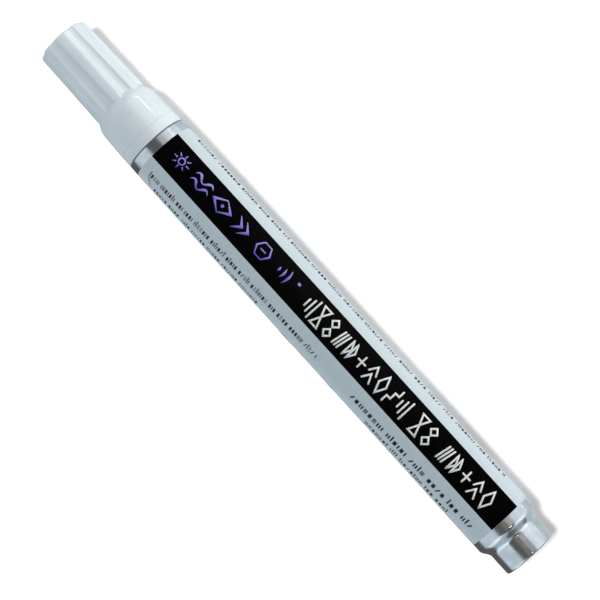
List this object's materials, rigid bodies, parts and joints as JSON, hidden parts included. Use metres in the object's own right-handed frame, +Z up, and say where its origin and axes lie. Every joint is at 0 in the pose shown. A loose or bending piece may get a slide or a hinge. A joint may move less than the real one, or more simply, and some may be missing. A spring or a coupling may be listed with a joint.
{
  "type": "counterfeit detector pen",
  "caption": "Valve-action marking pen for checking banknotes: aluminium barrel with printed label, sprung bullet nib and fluted pull-off cap.",
  "frame": {"origin": "bottom centre of the bounding box, on the surface that the pen lies on", "axes": "+X along the pen from cap to tail, +Z up, +Y across the pen; the pen's axis is 7.25 mm above the surface"},
  "size_m": [0.1414, 0.0144, 0.0145],
  "materials": {
    "cap_plastic": "moulded bluish-white polypropylene, satin gloss",
    "liner_plastic": "soft natural polyethylene",
    "collar_plastic": "moulded polypropylene, fine matt tool finish",
    "seal_rubber": "black nitrile rubber",
    "nib_fibre": "bonded polyester fibre, ground to a bullet point",
    "valve_plastic": "moulded acetal",
    "spring_steel": "drawn stainless wire",
    "barrel_aluminium": "bright impact-extruded aluminium with fine turning lines",
    "label_film": null,
    "ball_steel": "polished steel ball"
  },
  "bodies": {
    "barrel": {"barrel": "barrel_aluminium", "label": "label_film", "front_section": "collar_plastic", "tube_seal": "seal_rubber", "valve_gasket": "seal_rubber", "valve_body": "valve_plastic", "valve_cage": "valve_plastic", "valve_spring": "spring_steel"},
    "cap": {"cap_shell": "cap_plastic", "cap_liner": "liner_plastic"},
    "plunger": {"nib": "nib_fibre", "valve_stem": "valve_plastic", "stem_washer": "seal_rubber"},
    "mixing_ball": {"mixing_ball": "ball_steel"}
  },
  "joints": [
    {"name": "cap_pull", "type": "slide", "parent": "barrel", "child": "cap", "axis": [-1, 0, 0], "range_m": [0, 0.05]},
    {"name": "nib_press", "type": "slide", "parent": "barrel", "child": "plunger", "axis": [1, 0, 0], "range_m": [0, 0.002], "stiffness_N_per_m": 600, "deforming": ["valve_spring"]},
    {"name": "ball_slide", "type": "slide", "parent": "barrel", "child": "mixing_ball", "axis": [1, 0, 0], "range_m": [-0.081, 0.006]}
  ]
}
